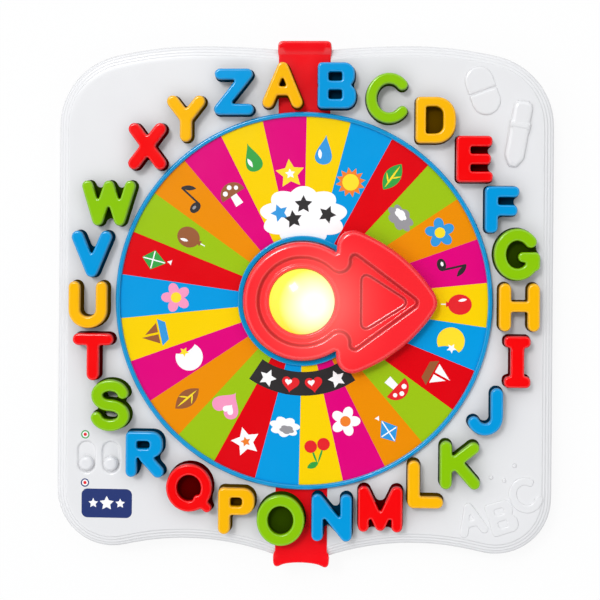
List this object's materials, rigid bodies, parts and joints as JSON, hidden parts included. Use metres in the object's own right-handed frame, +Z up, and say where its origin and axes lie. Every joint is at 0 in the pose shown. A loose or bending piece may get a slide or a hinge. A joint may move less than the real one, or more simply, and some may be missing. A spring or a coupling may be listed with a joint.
{
  "type": "baby activity center",
  "caption": "Flat white alphabet board with raised coloured letters round a wedge-coloured dial, a spinning red pointer, a lit yellow push button and sliding knobs",
  "frame": {"origin": "centre of the part's box in plan, on the surface that its feet rest on", "axes": "+X to the right and +Y to the top of the board as a child reads it, +Z up out of its face"},
  "size_m": [0.398, 0.422, 0.054],
  "materials": {
    "white_shell": "moulded glossy white plastic",
    "white_knob": "moulded glossy white plastic",
    "bracket_red": "moulded glossy red plastic",
    "dial_blue": "moulded satin blue plastic",
    "printed_card": "printed film in bright wedges",
    "pointer_red": "moulded glossy red plastic",
    "button_yellow": "translucent yellow plastic, lit from below",
    "letter_yellow": "moulded satin yellow plastic",
    "letter_blue": "moulded satin blue plastic",
    "letter_green": "moulded satin green plastic",
    "letter_red": "moulded satin red plastic",
    "inner_ivory": "plain moulded plastic",
    "circuit_board": "coated board",
    "dark_plastic": "black plastic",
    "lamp_clear": "clear lamp",
    "speaker_paper": "pressed paper cone",
    "cell_wrap": "plain wrapped cells",
    "bright_steel": "plated steel",
    "contact_brass": "sprung contact strip",
    "lead_grey": "flat lead",
    "foot_rubber": "soft grey rubber"
  },
  "bodies": {
    "housing": {"front_cover": "white_shell", "rear_cover": "white_shell", "top_bracket": "bracket_red", "bottom_bracket": "bracket_red", "dial_base": "dial_blue", "dial_label": "printed_card", "hub_post": "inner_ivory", "button_board": "circuit_board", "encoder_board": "circuit_board", "main_board": "circuit_board", "switch_board": "circuit_board", "push_switch": "dark_plastic", "lamps": "lamp_clear", "sound_chip": "dark_plastic", "speaker_frame": "bright_steel", "speaker_cone": "speaker_paper", "speaker_magnet": "bright_steel", "batteries": "cell_wrap", "battery_contacts": "bright_steel", "slide_switches": "bright_steel", "housing_screws": "bright_steel", "panel_screws": "bright_steel", "board_screws": "bright_steel", "wiring": "lead_grey", "rubber_feet": "foot_rubber", "letter_a": "letter_yellow", "letter_b": "letter_blue", "letter_c": "letter_green", "letter_d": "letter_yellow", "letter_e": "letter_red", "letter_f": "letter_blue", "letter_g": "letter_green", "letter_h": "letter_yellow", "letter_i": "letter_red", "letter_j": "letter_blue", "letter_k": "letter_green", "letter_l": "letter_yellow", "letter_m": "letter_red", "letter_n": "letter_blue", "letter_o": "letter_green", "letter_p": "letter_yellow", "letter_q": "letter_red", "letter_r": "letter_blue", "letter_s": "letter_green", "letter_t": "letter_red", "letter_u": "letter_yellow", "letter_v": "letter_blue", "letter_w": "letter_green", "letter_x": "letter_red", "letter_y": "letter_yellow", "letter_z": "letter_blue"},
    "pointer": {"pointer": "pointer_red", "wiper_disc": "inner_ivory", "wiper_fingers": "contact_brass"},
    "light_button": {"light_button": "button_yellow", "button_spring": "bright_steel"},
    "language_knob": {"language_knob": "white_knob"},
    "volume_knob": {"volume_knob": "white_knob"},
    "battery_door": {"battery_door": "white_shell", "battery_door_screw": "bright_steel"}
  },
  "joints": [
    {"name": "pointer_spin", "type": "hinge", "parent": "housing", "child": "pointer", "pos_m": [0, 0.003, 0.04], "axis": [0, 0, 1], "continuous": true},
    {"name": "button_press", "type": "slide", "parent": "housing", "child": "light_button", "axis": [0, 0, -1], "range_m": [0, 0.0025], "stiffness_N_per_m": 900, "springref_m": -0.001, "deforming": ["button_spring"]},
    {"name": "language_slide", "type": "slide", "parent": "housing", "child": "language_knob", "axis": [0, 1, 0], "range_m": [0, 0.01]},
    {"name": "volume_slide", "type": "slide", "parent": "housing", "child": "volume_knob", "axis": [0, 1, 0], "range_m": [0, 0.01]},
    {"name": "battery_door_lift", "type": "slide", "parent": "housing", "child": "battery_door", "axis": [0, 0, -1], "range_m": [0, 0.03]}
  ]
}
